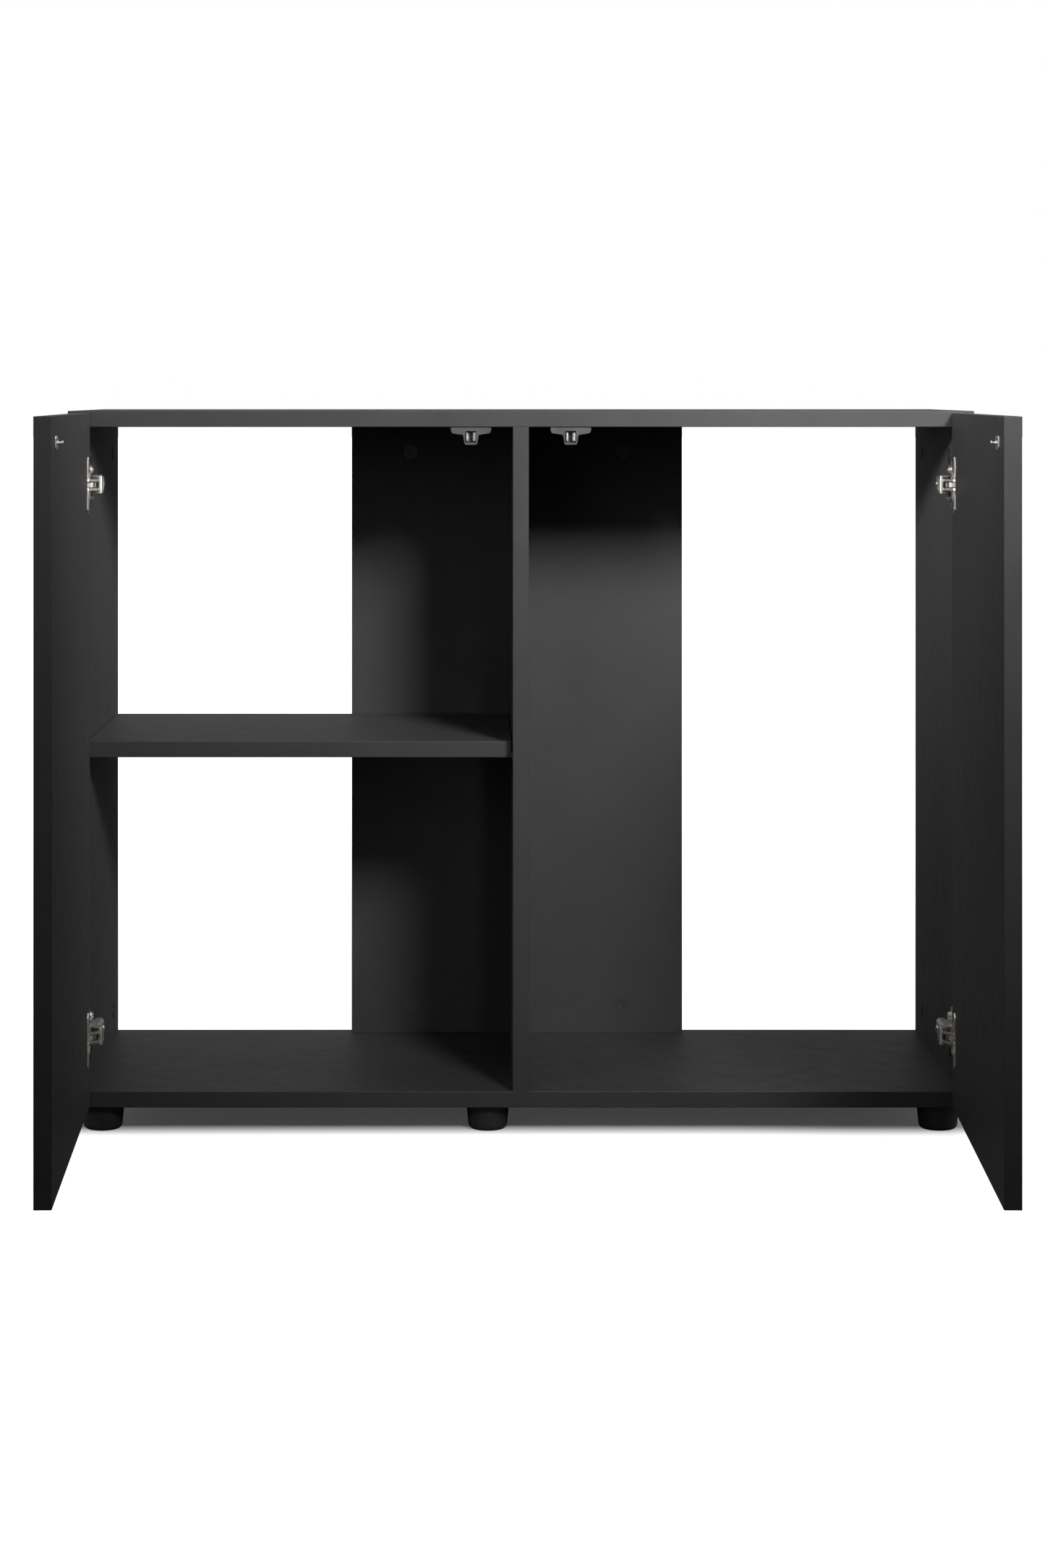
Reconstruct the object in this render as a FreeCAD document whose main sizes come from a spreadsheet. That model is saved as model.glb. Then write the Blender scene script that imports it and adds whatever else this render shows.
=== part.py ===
import FreeCAD, Part
import Sketcher
import math
import os

# Aquarium stand: a two-door cabinet on six feet, with cam joints, a shelf, touch latches
# and cup hinges. Millimetres, +Z up. The origin is the centre of the tank-bearing top face
# and the doors are at the front, towards -Y. Both doors stand open at door_open degrees.

os.makedirs("parts", exist_ok=True)
Vector = FreeCAD.Vector
Rotation = FreeCAD.Rotation
Placement = FreeCAD.Placement

doc = FreeCAD.newDocument("AquariumStand")
sheet = doc.addObject("Spreadsheet::Sheet", "Sheet")

# Suffixes: rad radius, deep depth, half half width, u and v the hinge plan axes.
DIMENSIONS = [
    # carcass boards
    ("cab_width", 1015), ("cab_depth", 384), ("carcass_tall", 780), ("board", 18),
    ("edge_round", 0.6), ("back_wide", 404),
    # shelf and shelf pins
    ("shelf_drop", 372), ("shelf_setback", 20), ("shelf_gap_side", 1.5), ("shelf_gap_back", 0.5),
    ("pin_rad", 2.5), ("pin_hole_deep", 9), ("pin_first_drop", 294), ("pin_pitch", 96),
    ("pin_row_inset", 46), ("pin_end_gap", 0.5), ("pin_collar_rad", 3.5), ("pin_collar_thick", 1),
    ("pin_tab_half", 3.2), ("pin_tab_tall", 2.2), ("pin_tab_long", 9),
    # cams, bolts and dowels
    ("cam_rad", 7.5), ("cam_long", 12.5), ("cam_pocket_deep", 13.6), ("cam_rim_rad", 8.75),
    ("cam_rim_thick", 0.8), ("cam_from_end", 34), ("cam_slot_rad", 3.6),
    ("cam_cross_long", 10), ("cam_cross_wide", 2), ("cam_cross_deep", 2),
    ("bolt_bore_rad", 4), ("bolt_bore_deep", 28), ("bolt_thread_rad", 2.5),
    ("bolt_thread_long", 11), ("bolt_collar_rad", 3.8), ("bolt_collar_long", 3),
    ("bolt_neck_rad", 2), ("bolt_head_rad", 3.3), ("bolt_head_from", 27), ("bolt_reach", 30.5),
    ("dowel_rad", 4), ("dowel_in_panel", 12), ("dowel_in_end", 23),
    ("cam_front", 72), ("cam_rear", 325), ("dowel_front", 40), ("dowel_rear", 357),
    ("div_cam_rear", 302), ("div_dowel_rear", 334), ("back_cam_x", 130), ("back_dowel_x", 162),
    # feet
    ("foot_rad", 24), ("foot_low_rad", 22), ("foot_tall", 30), ("foot_edge_round", 6),
    ("foot_rim_tall", 3), ("foot_wall", 3), ("foot_floor", 4), ("foot_boss_rad", 8),
    ("foot_peg_rad", 5), ("foot_peg_long", 10),
    ("foot_inset_x", 36), ("foot_inset_y", 36), ("foot_mid_x", 37),
    # doors
    ("door_wide", 505), ("door_tall", 775), ("door_gap", 3), ("door_reveal", 1),
    ("door_top_drop", 2.5), ("door_open", 88),
    # hinge pivots and levels
    ("arm_pin_u", 24.04), ("arm_pin_v", 6.24), ("cup_pin_u", 10.74), ("cup_pin_v", 8.0),
    ("link_ratio", 0.372), ("arm_pin2_u", 37.16), ("arm_pin2_v", 0.02), ("cup_pin2_u", 15.0),
    ("cup_pin2_v", 5.0), ("link2_ratio", 0.45), ("hinge_top_drop", 82.5),
    ("hinge_low_drop", 699.5),
    # hinge cup
    ("cup_u", 22.5), ("cup_rad", 17.5), ("cup_bore_rad", 16.5), ("cup_deep", 12.2),
    ("cup_floor", 1.0), ("cup_block_u", 17.6), ("cup_block_half", 6.8),
    ("flange_rad", 18.7), ("flange_thick", 1.2), ("flange_half", 31.5), ("flange_ear_lo", 24.5),
    ("flange_ear_hi", 39.5), ("flange_ear_cut", 5), ("cup_notch_from", 34), ("cup_notch_to", 44),
    ("cup_notch_half", 10), ("cup_screw_u", 32), ("cup_screw_z", 24), ("cup_seat_extra", 0.5),
    ("long_hole_long", 23), ("short_hole_long", 20), ("long_pin_long", 22.8),
    ("short_pin_from", 3.6), ("short_pin_long", 6.2),
    # chipboard screws
    ("screw_rad", 1.75), ("screw_head_rad", 3.4), ("screw_head_deep", 1.2), ("screw_long", 14),
    ("screw_rim", 0.25), ("screw_tip_rad", 0.3), ("screw_tip_tall", 1),
    ("screw_cross_long", 3.4), ("screw_cross_wide", 0.8), ("screw_cross_deep", 1.1),
    # hinge links
    ("pivot_rad", 1.1), ("pivot_hole_rad", 1.15), ("pivot2_rad", 0.8), ("slot_fit", 0.12),
    ("link_half", 2.6), ("link_band", 1.5), ("link2_in", 3.8), ("link2_out", 6.3),
    ("barrel_half", 7.9), ("barrel_rad", 2.3), ("barrel_step", 0.2),
    # hinge arm
    ("arm_in", 8), ("arm_out", 9.5), ("arm_lip", 1.5), ("arm_web_out", 39.4), ("arm_rear", 60),
    ("arm_seat_out", 34.8), ("arm_step", 12), ("arm_bevel", 3), ("arm_nose_from", 4.2),
    ("arm_hole_deep", 6), ("rivet_head_rad", 1.6), ("rivet_head_tall", 0.5),
    # hinge mounting plate
    ("plate_thick", 2.5), ("plate_wing", 26), ("plate_cut", 4), ("plate_from", 30),
    ("plate_to", 44), ("plate_block_half", 7.5), ("plate_block_top", 30),
    ("plate_block_from", 24), ("plate_block_to", 60), ("plate_groove_from", 36),
    ("plate_groove_to", 45), ("plate_groove_half", 3), ("plate_groove_deep", 6),
    ("plate_screw_v", 37), ("plate_screw_z", 16), ("plate_boss_rad", 5), ("plate_boss_tall", 5.5),
    # machine screws of the hinge
    ("euro_rad", 2.5), ("euro_head_rad", 3.6), ("euro_head_tall", 1.6), ("euro_deep", 9.5),
    ("adjust_front", 31), ("adjust_rear", 50), ("adjust_rad", 2), ("adjust_head_rad", 3.3),
    ("adjust_head_tall", 1.5), ("adjust_deep", 10), ("machine_end_gap", 0.5),
    ("machine_tip_in", 0.5), ("machine_edge_tall", 0.5), ("machine_edge_in", 0.6),
    ("machine_cross_long", 4), ("machine_cross_wide", 0.9), ("machine_cross_deep", 1),
    # touch latch housing
    ("latch_x", 56), ("latch_face", 2), ("latch_long", 40), ("latch_flange_long", 24),
    ("latch_flange_half", 22.7), ("latch_flange_thin", 7), ("latch_flange_thick", 9),
    ("latch_edge_tall", 3), ("latch_edge_in", 1.6),
    ("latch_block_half", 8.75), ("latch_block_low_half", 7), ("latch_tall", 20),
    ("latch_mouth_half", 5.7), ("latch_mouth_tall", 13), ("latch_mouth_centre", 11),
    ("latch_mouth_deep", 36), ("latch_screw_x", 16), ("latch_screw_y", 14),
    ("latch_head_tall", 2), ("latch_head_fit", 0.1), ("latch_head_edge_in", 0.8),
    ("latch_head_edge_tall", 0.7), ("latch_sink_cut", 8),
    # touch latch slider, jaws and spring
    ("slider_half", 5.4), ("slider_tall", 12.4), ("slider_from", 9.5), ("slider_to", 25.5),
    ("slider_bore_rad", 4.3), ("slider_bore_deep", 9), ("jaw_slot_deep", 5.5), ("jaw_fit", 0.1),
    ("jaw_tall", 9), ("jaw_pivot_x", 3.6), ("jaw_pivot_y", 12.5), ("jaw_pin_rad", 1.0),
    ("jaw_pin_short", 1), ("jaw_hole_rad", 1.05), ("jaw_knuckle_rad", 1.8),
    ("spring_rad", 3.4), ("spring_wire", 0.4), ("spring_from", 19.2), ("spring_to", 37.98),
    ("spring_pitch", 2.569),
    # door strike and its screws
    ("strike_tall", 13.5), ("strike_wide", 26), ("strike_thick", 1), ("strike_cut", 2.5),
    ("strike_neck_rad", 1.1), ("strike_head_rad", 2.0), ("strike_head_from", 2.7),
    ("strike_head_to", 4), ("strike_screw_x", 8.5), ("strike_screw_rad", 1.25),
    ("strike_screw_head", 2.2), ("strike_screw_head_tall", 0.9), ("strike_screw_rim", 0.3),
    ("strike_screw_edge_in", 0.7), ("strike_screw_long", 12), ("strike_screw_tip_rad", 0.2),
    ("strike_hole_deep", 11.5), ("strike_cross_long", 2.6), ("strike_cross_wide", 0.7),
    ("strike_cross_deep", 0.8),
]
for row, (alias, size) in enumerate(DIMENSIONS, start=2):
    sheet.set("A%d" % row, alias)
    sheet.set("B%d" % row, str(size))
    sheet.setAlias("B%d" % row, alias)
doc.recompute()

OVERRUN = 1.0  # how far a cutter runs on past the material
MIN_UPRIGHT = 50  # an edge that rises more than this is an upright one
HEEL_ANGLES = (90, 72, 54, 36, 18, 0)  # facets of the foot's rounded lower edge
WIRE_SIDES = 8


# ---------------------------------------------------------------- bound numbers
class Number:
    """A value together with the sheet formula that gives it."""

    def __init__(self, value, formula):
        self.value = float(value)
        self.formula = formula

    def __add__(self, other):
        other = num(other)
        return Number(self.value + other.value, "(%s + %s)" % (self.formula, other.formula))

    def __radd__(self, other):
        return num(other) + self

    def __sub__(self, other):
        other = num(other)
        return Number(self.value - other.value, "(%s - %s)" % (self.formula, other.formula))

    def __rsub__(self, other):
        return num(other) - self

    def __mul__(self, other):
        other = num(other)
        return Number(self.value * other.value, "(%s * %s)" % (self.formula, other.formula))

    def __rmul__(self, other):
        return num(other) * self

    def __neg__(self):
        return Number(-self.value, "(0 - %s)" % self.formula)


def num(x):
    if isinstance(x, Number):
        return x
    return Number(x, "%.6f" % x if x >= 0 else "(0 - %.6f)" % -x)


def cosine(angle):
    return Number(math.cos(math.radians(angle.value)), "cos(%s * 1 deg)" % angle.formula)


def sine(angle):
    return Number(math.sin(math.radians(angle.value)), "sin(%s * 1 deg)" % angle.formula)


class SheetDimensions:
    """Reads each alias of the sheet as an attribute."""

    def __getattr__(self, alias):
        return Number(float(sheet.get(alias)), "Sheet." + alias)


dim = SheetDimensions()


def bind(obj, prop, number):
    obj.setExpression(prop, num(number).formula)


def vec(x, y, z=0):
    return Vector(num(x).value, num(y).value, num(z).value)


def spot(x, y, z, axis=(0, 0, 1), angle=0.0):
    return Placement(vec(x, y, z), Rotation(Vector(*axis), angle))


def place(obj, x, y, z, angle=0.0):
    """Bind the object's position and its turn about Z."""
    angle = num(angle)
    obj.Placement = spot(x, y, z, angle=angle.value)
    bind(obj, "Placement.Base.x", x)
    bind(obj, "Placement.Base.y", y)
    bind(obj, "Placement.Base.z", z)
    if angle.value:
        bind(obj, "Placement.Rotation.Angle", angle)


# ---------------------------------------------------------------- bodies and sketches
PLANES = {"xy": ("XY_Plane", 1), "xz": ("XZ_Plane", -1), "yz": ("YZ_Plane", 1)}
feature_count = 0
parts = []


def numbered(kind):
    global feature_count
    feature_count += 1
    return "%s_%03d" % (kind, feature_count)


def new_body(name):
    body = doc.addObject("PartDesign::Body", name)
    body.Label = name
    return body


def new_sketch(body, plane="xy", at=0.0):
    """Sketch parallel to an origin plane, at coordinate `at` along that plane's axis.

    The normals are +Z for xy, -Y for xz and +X for yz.
    """
    sketch = body.newObject("Sketcher::SketchObject", numbered("Sketch"))
    role, sign = PLANES[plane]
    base = [f for f in body.Origin.OriginFeatures if f.Role == role][0]
    sketch.AttachmentSupport = [(base, "")]
    sketch.MapMode = "FlatFace"
    at = num(at)
    if at.value or "Sheet" in at.formula:
        offset = at if sign > 0 else -at
        sketch.AttachmentOffset = Placement(vec(0, 0, offset), Rotation())
        bind(sketch, "AttachmentOffset.Base.z", offset)
    return sketch


def fix_point(sketch, geometry, point, x, y):
    for kind, number in (("DistanceX", num(x)), ("DistanceY", num(y))):
        index = sketch.addConstraint(
            Sketcher.Constraint(kind, -1, 1, geometry, point, number.value))
        if "Sheet" in number.formula:
            sketch.setExpression("Constraints[%d]" % index, number.formula)


def closed_lines(sketch, points):
    count = len(points)
    corners = [vec(x, y) for x, y in points]
    lines = [sketch.addGeometry(Part.LineSegment(corners[i], corners[(i + 1) % count]), False)
             for i in range(count)]
    for i in range(count):
        sketch.addConstraint(
            Sketcher.Constraint("Coincident", lines[i], 2, lines[(i + 1) % count], 1))
    return lines


def rect(sketch, x0, y0, x1, y1):
    lines = closed_lines(sketch, [(x0, y0), (x1, y0), (x1, y1), (x0, y1)])
    for line, kind in zip(lines, ("Horizontal", "Vertical", "Horizontal", "Vertical")):
        sketch.addConstraint(Sketcher.Constraint(kind, line))
    fix_point(sketch, lines[0], 1, x0, y0)
    fix_point(sketch, lines[2], 1, x1, y1)
    return sketch


def polygon(sketch, points):
    for line, (x, y) in zip(closed_lines(sketch, points), points):
        fix_point(sketch, line, 1, x, y)
    return sketch


def disc(sketch, x, y, rad):
    rad = num(rad)
    circle = sketch.addGeometry(Part.Circle(vec(x, y), Vector(0, 0, 1), rad.value), False)
    index = sketch.addConstraint(Sketcher.Constraint("Radius", circle, rad.value))
    sketch.setExpression("Constraints[%d]" % index, rad.formula)
    fix_point(sketch, circle, 3, x, y)
    return sketch


def discs(sketch, centres, rad):
    for x, y in centres:
        disc(sketch, x, y, rad)
    return sketch


def mirrored(half):
    """Close a half outline with its mirror image across x = 0."""
    return half + [(-x, y) for x, y in reversed(half)]


def chamfered_rect(x0, y0, x1, y1, cut):
    return [(x0, y0 + cut), (x0 + cut, y0), (x1 - cut, y0), (x1, y0 + cut),
            (x1, y1 - cut), (x1 - cut, y1), (x0 + cut, y1), (x0, y1 - cut)]


def facing(inward, points, origin_u=0, origin_v=0):
    """Points about a new origin, mirrored in x when inward is -1."""
    return [(inward * (u - origin_u), v - origin_v) for u, v in points]


# ---------------------------------------------------------------- features
def extrude(body, kind, sketch, length, mid, back):
    feature = body.newObject("PartDesign::" + kind, numbered(kind))
    feature.Profile = sketch
    feature.Length = num(length).value
    bind(feature, "Length", length)
    feature.Midplane = mid
    feature.Reversed = back
    sketch.Visibility = False
    doc.recompute()


def pad(body, sketch, length, mid=False, back=False):
    """Adds along the sketch normal; back adds against it."""
    extrude(body, "Pad", sketch, length, mid, back)


def pocket(body, sketch, deep, mid=False, back=False):
    """Cuts against the sketch normal; back cuts along it. The volume must drop."""
    before = body.Shape.Volume
    extrude(body, "Pocket", sketch, deep, mid, back)
    if body.Shape.Volume > before - 1e-3:
        raise RuntimeError("pocket cut nothing in %s" % body.Label)


def holes(body, plane, at, centres, rad, deep, back=False):
    pocket(body, discs(new_sketch(body, plane, at), centres, rad), deep, back=back)


def cross_recess(body, z, length, wide, deep):
    for size_x, size_y in ((length, wide), (wide, length)):
        bar = rect(new_sketch(body, "xy", z),
                   -0.5 * size_x, -0.5 * size_y, 0.5 * size_x, 0.5 * size_y)
        pocket(body, bar, deep)


def turned(name, points):
    """A body turned about Z from an outline of (radius, z) points."""
    body = new_body(name)
    sketch = polygon(new_sketch(body, "xz"), points)
    feature = body.newObject("PartDesign::Revolution", numbered("Revolution"))
    feature.Profile = sketch
    feature.ReferenceAxis = (sketch, ["V_Axis"])
    feature.Angle = 360
    sketch.Visibility = False
    doc.recompute()
    return body


def ease_edges(body, upright_only=False):
    tip = body.Tip
    names = []
    for i, edge in enumerate(tip.Shape.Edges, start=1):
        if len(edge.Vertexes) == 2:
            rise = abs(edge.Vertexes[0].Point.z - edge.Vertexes[1].Point.z)
            if not upright_only or rise > MIN_UPRIGHT:
                names.append("Edge%d" % i)
    fillet = body.newObject("PartDesign::Fillet", numbered("Fillet"))
    fillet.Base = (tip, names)
    fillet.Radius = dim.edge_round.value
    bind(fillet, "Radius", dim.edge_round)
    doc.recompute()


def board(name, x, y, z, size_x, size_y, size_z, upright_only=False):
    """A board standing on its least corner, with its edges eased."""
    body = new_body(name)
    pad(body, rect(new_sketch(body), 0, 0, size_x, size_y), size_z)
    place(body, x, y, z)
    doc.recompute()
    ease_edges(body, upright_only)
    return body


def group(name, placed):
    """One node of separate solids from (master, placement) pairs."""
    solids = []
    for master, placement in placed:
        shape = master.Shape.copy()
        shape.transformShape(placement.toMatrix(), True)
        solids.extend(shape.Solids)
    node = doc.addObject("Part::Feature", name)
    node.Label = name
    node.Shape = Part.makeCompound(solids)
    parts.append(node)


# ---------------------------------------------------------------- shared positions
width, depth, tall, thick = dim.cab_width, dim.cab_depth, dim.carcass_tall, dim.board
half_width, half_thick = 0.5 * width, 0.5 * thick
left_x, front_y = -0.5 * width, -0.5 * depth
inner_tall = tall - 2 * thick  # height of the boards between top and bottom panels
cam_levels = (dim.cam_from_end, inner_tall - dim.cam_from_end)
side_cams = (dim.cam_front, dim.cam_rear)
divider_cams = (dim.cam_front, dim.div_cam_rear)
back_centre = 0.5 * dim.back_wide

# Joint plan points, measured from the least corner of the top and bottom panels.
bolt_points = [
    (half_thick, dim.cam_front), (half_thick, dim.cam_rear),
    (width - half_thick, dim.cam_front), (width - half_thick, dim.cam_rear),
    (half_width, dim.cam_front), (half_width, dim.div_cam_rear),
    (half_width - dim.back_cam_x, depth - half_thick),
    (half_width + dim.back_cam_x, depth - half_thick),
]
dowel_points = [
    (half_thick, dim.dowel_front), (half_thick, dim.dowel_rear),
    (width - half_thick, dim.dowel_front), (width - half_thick, dim.dowel_rear),
    (half_width, dim.dowel_front), (half_width, dim.div_dowel_rear),
    (half_width - dim.back_dowel_x, depth - half_thick),
    (half_width + dim.back_dowel_x, depth - half_thick),
]
foot_points = {}
for row, foot_y in (("front", dim.foot_inset_y), ("rear", depth - dim.foot_inset_y)):
    for column, foot_x in (("left", dim.foot_inset_x), ("centre", half_width - dim.foot_mid_x),
                           ("right", width - dim.foot_inset_x)):
        foot_points["%s_%s_foot" % (row, column)] = (foot_x, foot_y)

hinge_levels = [-dim.hinge_top_drop, -dim.hinge_low_drop]
pin_drops = [dim.pin_first_drop + i * dim.pin_pitch for i in range(3)]
pin_rows = [dim.pin_row_inset, depth - dim.pin_row_inset]
pin_points = [(y, tall - thick - drop) for y in pin_rows for drop in pin_drops]
latch_level = -thick - dim.latch_mouth_centre


# ---------------------------------------------------------------- carcass boards
def top_panel():
    body = board("top_panel", left_x, front_y, -thick, width, depth, thick)
    holes(body, "xy", 0, bolt_points, dim.bolt_thread_rad, dim.bolt_thread_long, back=True)
    holes(body, "xy", 0, dowel_points, dim.dowel_rad, dim.dowel_in_panel, back=True)
    latch_points = [(half_width + side * dim.latch_x + k * dim.latch_screw_x, dim.latch_screw_y)
                    for side in (-1, 1) for k in (-1, 1)]
    holes(body, "xy", 0, latch_points, dim.screw_rad,
          dim.screw_long - dim.latch_flange_thin, back=True)
    parts.append(body)


def bottom_panel():
    body = board("bottom_panel", left_x, front_y, -tall, width, depth, thick)
    holes(body, "xy", thick, bolt_points, dim.bolt_thread_rad, dim.bolt_thread_long)
    holes(body, "xy", thick, dowel_points, dim.dowel_rad, dim.dowel_in_panel)
    holes(body, "xy", 0, list(foot_points.values()), dim.foot_peg_rad, dim.foot_peg_long,
          back=True)
    parts.append(body)


def end_bores(body, bolts, dowels):
    """Bolt bores and dowel holes in both ends of a standing board."""
    for centres, rad, deep in ((bolts, dim.bolt_bore_rad, dim.bolt_bore_deep),
                               (dowels, dim.dowel_rad, dim.dowel_in_end)):
        holes(body, "xy", inner_tall, centres, rad, deep)
        holes(body, "xy", 0, centres, rad, deep, back=True)


def cam_pockets(body, plane, face, positions, back=False):
    holes(body, plane, face, [(along, z) for along in positions for z in cam_levels],
          dim.cam_rad, dim.cam_pocket_deep, back=back)


def side_panel(side):
    is_left = side == "left"
    inner_face = thick if is_left else 0
    body = board(side + "_side_panel", left_x if is_left else half_width - thick, front_y,
                 thick - tall, thick, depth, inner_tall, upright_only=True)
    end_bores(body, [(half_thick, y) for y in side_cams],
              [(half_thick, dim.dowel_front), (half_thick, dim.dowel_rear)])
    cam_pockets(body, "yz", inner_face, side_cams, back=not is_left)
    plate_points = [(dim.plate_screw_v, level + tall - thick + k * dim.plate_screw_z)
                    for level in hinge_levels for k in (-1, 1)]
    holes(body, "yz", inner_face, plate_points, dim.euro_rad, dim.euro_deep, back=not is_left)
    if is_left:
        holes(body, "yz", inner_face, pin_points, dim.pin_rad, dim.pin_hole_deep)
    parts.append(body)


def centre_divider():
    body = board("centre_divider", -half_thick, front_y, thick - tall,
                 thick, depth - thick, inner_tall, upright_only=True)
    end_bores(body, [(half_thick, y) for y in divider_cams],
              [(half_thick, dim.dowel_front), (half_thick, dim.div_dowel_rear)])
    cam_pockets(body, "yz", thick, divider_cams)
    holes(body, "yz", 0, pin_points, dim.pin_rad, dim.pin_hole_deep, back=True)
    parts.append(body)


def back_panel():
    body = board("back_panel", -0.5 * dim.back_wide, 0.5 * depth - thick, thick - tall,
                 dim.back_wide, thick, inner_tall, upright_only=True)
    cams = [back_centre + k * dim.back_cam_x for k in (-1, 1)]
    end_bores(body, [(x, half_thick) for x in cams],
              [(back_centre + k * dim.back_dowel_x, half_thick) for k in (-1, 1)])
    cam_pockets(body, "xz", 0, cams)
    parts.append(body)


def shelf():
    """Shelf of the left compartment."""
    parts.append(board(
        "shelf", left_x + thick + dim.shelf_gap_side, front_y + dim.shelf_setback,
        -dim.shelf_drop - thick,
        half_width - thick - half_thick - 2 * dim.shelf_gap_side,
        depth - thick - dim.shelf_setback - dim.shelf_gap_back, thick))


top_panel()
bottom_panel()
side_panel("left")
side_panel("right")
centre_divider()
back_panel()
shelf()


# ---------------------------------------------------------------- joint fasteners
def make_bolt():
    """Axis +Z, origin at the joint plane, thread upwards into the panel."""
    return turned("master_bolt", [
        (0, -dim.bolt_reach), (dim.bolt_head_rad, -dim.bolt_reach),
        (dim.bolt_head_rad, -dim.bolt_head_from), (dim.bolt_neck_rad, -dim.bolt_head_from),
        (dim.bolt_neck_rad, -dim.bolt_collar_long), (dim.bolt_collar_rad, -dim.bolt_collar_long),
        (dim.bolt_collar_rad, 0), (dim.bolt_thread_rad, 0),
        (dim.bolt_thread_rad, dim.bolt_thread_long), (0, dim.bolt_thread_long)])


def make_cam():
    """Axis +Z, origin on the board face, body downwards, rim proud of the face."""
    body = new_body("master_cam")
    pad(body, disc(new_sketch(body), 0, 0, dim.cam_rad), dim.cam_long, back=True)
    pad(body, disc(new_sketch(body), 0, 0, dim.cam_rim_rad), dim.cam_rim_thick)
    # side slot, opening along +Y
    pocket(body, disc(new_sketch(body, "xz"), 0, -half_thick, dim.cam_slot_rad),
           dim.cam_rad + OVERRUN)
    cross_recess(body, dim.cam_rim_thick,
                 dim.cam_cross_long, dim.cam_cross_wide, dim.cam_cross_deep)
    return body


def make_dowel():
    """Axis +Z, origin at the joint plane, short end upwards."""
    body = new_body("master_dowel")
    pad(body, disc(new_sketch(body), 0, 0, dim.dowel_rad), dim.dowel_in_panel)
    pad(body, disc(new_sketch(body), 0, 0, dim.dowel_rad), dim.dowel_in_end, back=True)
    return body


def make_shelf_pin():
    """Axis +X into the shelf space, with a stem, a collar and a flat tab."""
    body = new_body("master_shelf_pin")
    pad(body, disc(new_sketch(body, "yz"), 0, 0, dim.pin_rad),
        dim.pin_hole_deep - dim.pin_end_gap, back=True)
    pad(body, disc(new_sketch(body, "yz"), 0, 0, dim.pin_collar_rad), dim.pin_collar_thick)
    pad(body, rect(new_sketch(body, "yz"),
                   -dim.pin_tab_half, -dim.pin_tab_tall, dim.pin_tab_half, 0), dim.pin_tab_long)
    return body


def at_both_joints(master, points):
    """The master at the top joint plane, and turned over at the bottom one."""
    placed = []
    for x, y in points:
        placed.append((master, spot(left_x + x, front_y + y, -thick)))
        placed.append((master, spot(left_x + x, front_y + y, thick - tall, (1, 0, 0), 180)))
    return placed


def placed_cams(cam):
    """Each cam looks out of its board face, with its slot towards its bolt."""
    faces = [(left_x + thick, front_y + y, Vector(1, 0, 0)) for y in side_cams]
    faces += [(half_width - thick, front_y + y, Vector(-1, 0, 0)) for y in side_cams]
    faces += [(half_thick, front_y + y, Vector(1, 0, 0)) for y in divider_cams]
    faces += [(k * dim.back_cam_x, 0.5 * depth - thick, Vector(0, -1, 0)) for k in (-1, 1)]
    placed = []
    for x, y, outward in faces:
        for z, up in ((-thick - dim.cam_from_end, 1), (thick - tall + dim.cam_from_end, -1)):
            slot = Vector(0, 0, up)
            turn = Rotation(slot.cross(outward), slot, outward, "ZXY")
            placed.append((cam, Placement(vec(x, y, z), turn)))
    return placed


def placed_shelf_pins(pin):
    placed = []
    for y in pin_rows:
        placed.append((pin, spot(left_x + thick, front_y + y, -pin_drops[1])))
        placed.append((pin, spot(-half_thick, front_y + y, -pin_drops[1], angle=180)))
    return placed


bolt_master = make_bolt()
cam_master = make_cam()
dowel_master = make_dowel()
group("cam_bolts", at_both_joints(bolt_master, bolt_points))
group("wooden_dowels", at_both_joints(dowel_master, dowel_points))
group("cam_locks", placed_cams(cam_master))
group("shelf_pins", placed_shelf_pins(make_shelf_pin()))


# ---------------------------------------------------------------- feet
def foot(name, x, y):
    """Hollow foot with a central boss and a peg up into the bottom panel."""
    floor = -dim.foot_tall
    heel = [(dim.foot_low_rad - dim.foot_edge_round * (1.0 - math.cos(math.radians(angle))),
             floor + dim.foot_edge_round * (1.0 - math.sin(math.radians(angle))))
            for angle in HEEL_ANGLES]
    body = turned(name, [(0, floor)] + heel + [
        (dim.foot_rad, -dim.foot_rim_tall), (dim.foot_rad, 0), (dim.foot_rad - dim.foot_wall, 0),
        (dim.foot_low_rad - dim.foot_wall, floor + dim.foot_floor),
        (dim.foot_boss_rad, floor + dim.foot_floor), (dim.foot_boss_rad, 0),
        (dim.foot_peg_rad, 0), (dim.foot_peg_rad, dim.foot_peg_long), (0, dim.foot_peg_long)])
    place(body, left_x + x, front_y + y, -tall)
    parts.append(body)


for foot_name, (foot_x, foot_y) in foot_points.items():
    foot(foot_name, foot_x, foot_y)

# ---------------------------------------------------------------- touch latches
# Lower corner of the housing block: (x from latch_block_low_half, z above its underside).
BLOCK_CORNER = [(0.3, 2.0), (-0.3, 0.6), (-1.7, 0.0)]
# Right jaw in plan: (x from the latch centre line, y behind the carcass front).
JAW_OUTLINE = [(3.55, 11.1), (3.6, -0.1), (2.9, -0.4), (2.9, -1.2),
               (3.4, -1.7), (4.9, -1.7), (5.4, -1.1), (5.4, 11.1)]


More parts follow.
